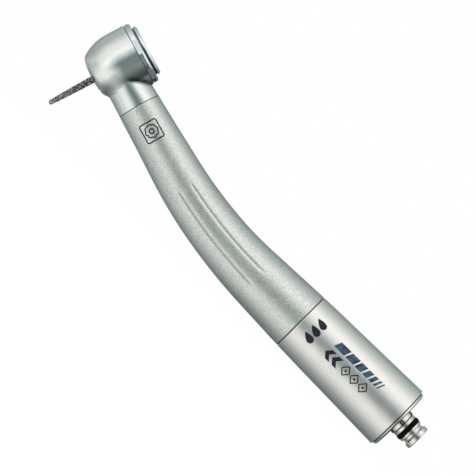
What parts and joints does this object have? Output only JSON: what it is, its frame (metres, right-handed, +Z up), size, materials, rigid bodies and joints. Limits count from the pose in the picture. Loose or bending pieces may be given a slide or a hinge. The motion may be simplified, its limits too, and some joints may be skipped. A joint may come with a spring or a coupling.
{
  "type": "high speed dental handpiece",
  "caption": "Air-turbine dental handpiece: push-button head with a diamond bur, bent hollow body with a blasted grip, and a snap-in coupling plug.",
  "frame": {"origin": "on the rear axis, at the rear face of the end plate, where the coupling plug starts", "axes": "+X out of the rear along the coupling plug, +Z up on the cap side of the bend plane, Y across the body"},
  "size_m": [0.108, 0.0154, 0.0272],
  "materials": {
    "satin_shell": "fine satin, smooth stainless and titanium shell",
    "blasted_grip": "matte, fine-grained blasted coating",
    "polished_steel": "polished",
    "plain_steel": "turned",
    "bearing_steel": "ground",
    "cage_polymer": "moulded polyimide",
    "seal_rubber": "smooth",
    "light_alloy": "turned",
    "brass_insert": "turned",
    "diamond_grit": "diamond grit bonded in nickel"
  },
  "bodies": {
    "housing": {"rear_sleeve": "satin_shell", "grip_body": "blasted_grip", "head_housing": "satin_shell", "cap_ring": "polished_steel", "cap_cup": "plain_steel", "button_spring": "plain_steel", "preload_washer": "plain_steel", "cap_o_ring": "seal_rubber", "neck_o_ring": "seal_rubber", "body_o_ring": "seal_rubber", "nozzle_insert": "brass_insert", "drive_air_tube": "plain_steel", "water_tube": "plain_steel", "chip_air_tube": "plain_steel", "rear_tube_guide": "light_alloy", "front_tube_guide": "light_alloy", "body_joint_ring": "plain_steel", "manifold_block": "light_alloy", "rear_end_plate": "polished_steel", "end_plate_gasket": "seal_rubber", "coupling_plug": "polished_steel", "plug_o_ring": "seal_rubber", "front_bearing_outer_race": "bearing_steel", "front_bearing_o_ring": "seal_rubber", "rear_bearing_outer_race": "bearing_steel", "rear_bearing_o_ring": "seal_rubber"},
    "rotor": {"turbine_spindle": "plain_steel", "impeller": "light_alloy", "chuck_collet": "plain_steel", "front_bearing_inner_race": "bearing_steel", "rear_bearing_inner_race": "bearing_steel"},
    "front_cage": {"front_bearing_cage": "cage_polymer", "front_bearing_balls": "bearing_steel"},
    "rear_cage": {"rear_bearing_cage": "cage_polymer", "rear_bearing_balls": "bearing_steel"},
    "button": {"push_button": "polished_steel"},
    "plunger": {"chuck_plunger": "plain_steel"},
    "bur": {"diamond_bur": "diamond_grit"}
  },
  "joints": [
    {"name": "turbine_spin", "type": "hinge", "parent": "housing", "child": "rotor", "pos_m": [-0.09376, 0, 0.01637], "axis": [0.284, 0, 0.9588], "continuous": true},
    {"name": "front_cage_spin", "type": "hinge", "parent": "housing", "child": "front_cage", "pos_m": [-0.09376, 0, 0.01637], "axis": [0.284, 0, 0.9588], "continuous": true},
    {"name": "rear_cage_spin", "type": "hinge", "parent": "housing", "child": "rear_cage", "pos_m": [-0.09376, 0, 0.01637], "axis": [0.284, 0, 0.9588], "continuous": true},
    {"name": "button_press", "type": "slide", "parent": "housing", "child": "button", "axis": [-0.284, 0, -0.9588], "range_m": [0, 0.0005], "stiffness_N_per_m": 8000, "springref_m": -0.0006, "deforming": ["button_spring"]},
    {"name": "plunger_slide", "type": "slide", "parent": "rotor", "child": "plunger", "axis": [-0.284, 0, -0.9588], "range_m": [0, 0.00037]},
    {"name": "bur_pull", "type": "slide", "parent": "rotor", "child": "bur", "axis": [-0.284, 0, -0.9588], "range_m": [0, 0.012]}
  ],
  "couplings": [
    {"joint": "front_cage_spin", "follows": "turbine_spin", "ratio": 0.396},
    {"joint": "rear_cage_spin", "follows": "turbine_spin", "ratio": 0.396},
    {"joint": "plunger_slide", "follows": "button_press", "ratio": 0.74}
  ]
}
